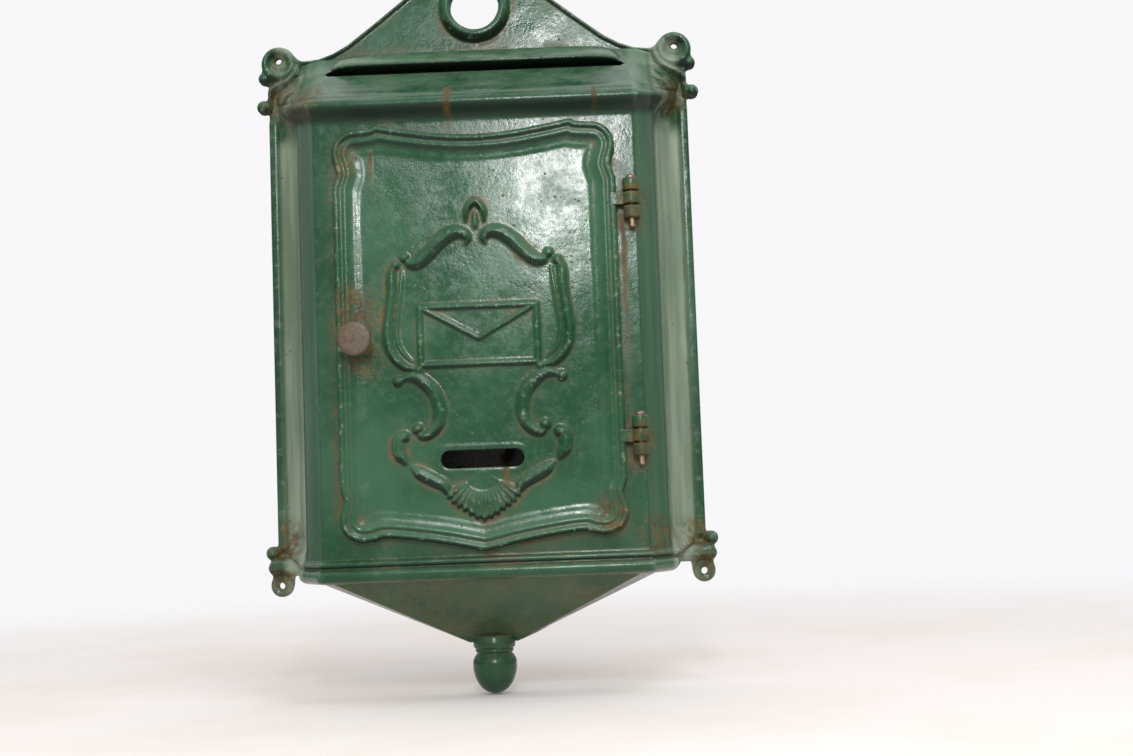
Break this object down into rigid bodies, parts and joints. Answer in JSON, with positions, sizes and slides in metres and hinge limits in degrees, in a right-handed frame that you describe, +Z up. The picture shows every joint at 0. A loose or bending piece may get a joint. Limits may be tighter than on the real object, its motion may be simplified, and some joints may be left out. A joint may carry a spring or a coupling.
{
  "type": "wall mailbox",
  "caption": "Old painted cast-iron wall mailbox with a scrolled hinged door, hooded letter slit, pointed crest with a hanging eye and a drop finial; rust in the recesses.",
  "frame": {"origin": "on the wall plane, on the centre line, midway between the heights of the upper and the lower fixing holes", "axes": "+X to the viewer's right, +Y into the wall, +Z up; the door faces -Y"},
  "size_m": [0.2398, 0.0755, 0.3968],
  "materials": {
    "green_paint": "glossy dark green paint, worn, with rust and dust in the recesses",
    "rusty_iron": "bare cast iron with old brown rust",
    "rusty_steel": "steel with brown rust",
    "dull_steel": "dull grey sheet steel with rust spots"
  },
  "bodies": {
    "frame": {"housing": "green_paint", "hinge_pin_upper": "rusty_steel", "hinge_pin_lower": "rusty_steel", "back_panel": "dull_steel", "back_screw_1": "rusty_steel", "back_screw_2": "rusty_steel", "back_screw_3": "rusty_steel", "back_screw_4": "rusty_steel"},
    "door": {"door": "green_paint"},
    "latch": {"knob": "rusty_iron", "latch_spacer": "rusty_iron", "latch_tongue": "rusty_steel", "latch_nut": "rusty_steel"}
  },
  "joints": [
    {"name": "door_hinge", "type": "hinge", "parent": "frame", "child": "door", "pos_m": [0.079, -0.0608, 0], "axis": [0, 0, 1], "range_deg": [0, 150]},
    {"name": "latch_turn", "type": "hinge", "parent": "door", "child": "latch", "pos_m": [-0.0605, -0.06, -0.0203], "axis": [0, 1, 0], "range_deg": [0, 90]}
  ]
}
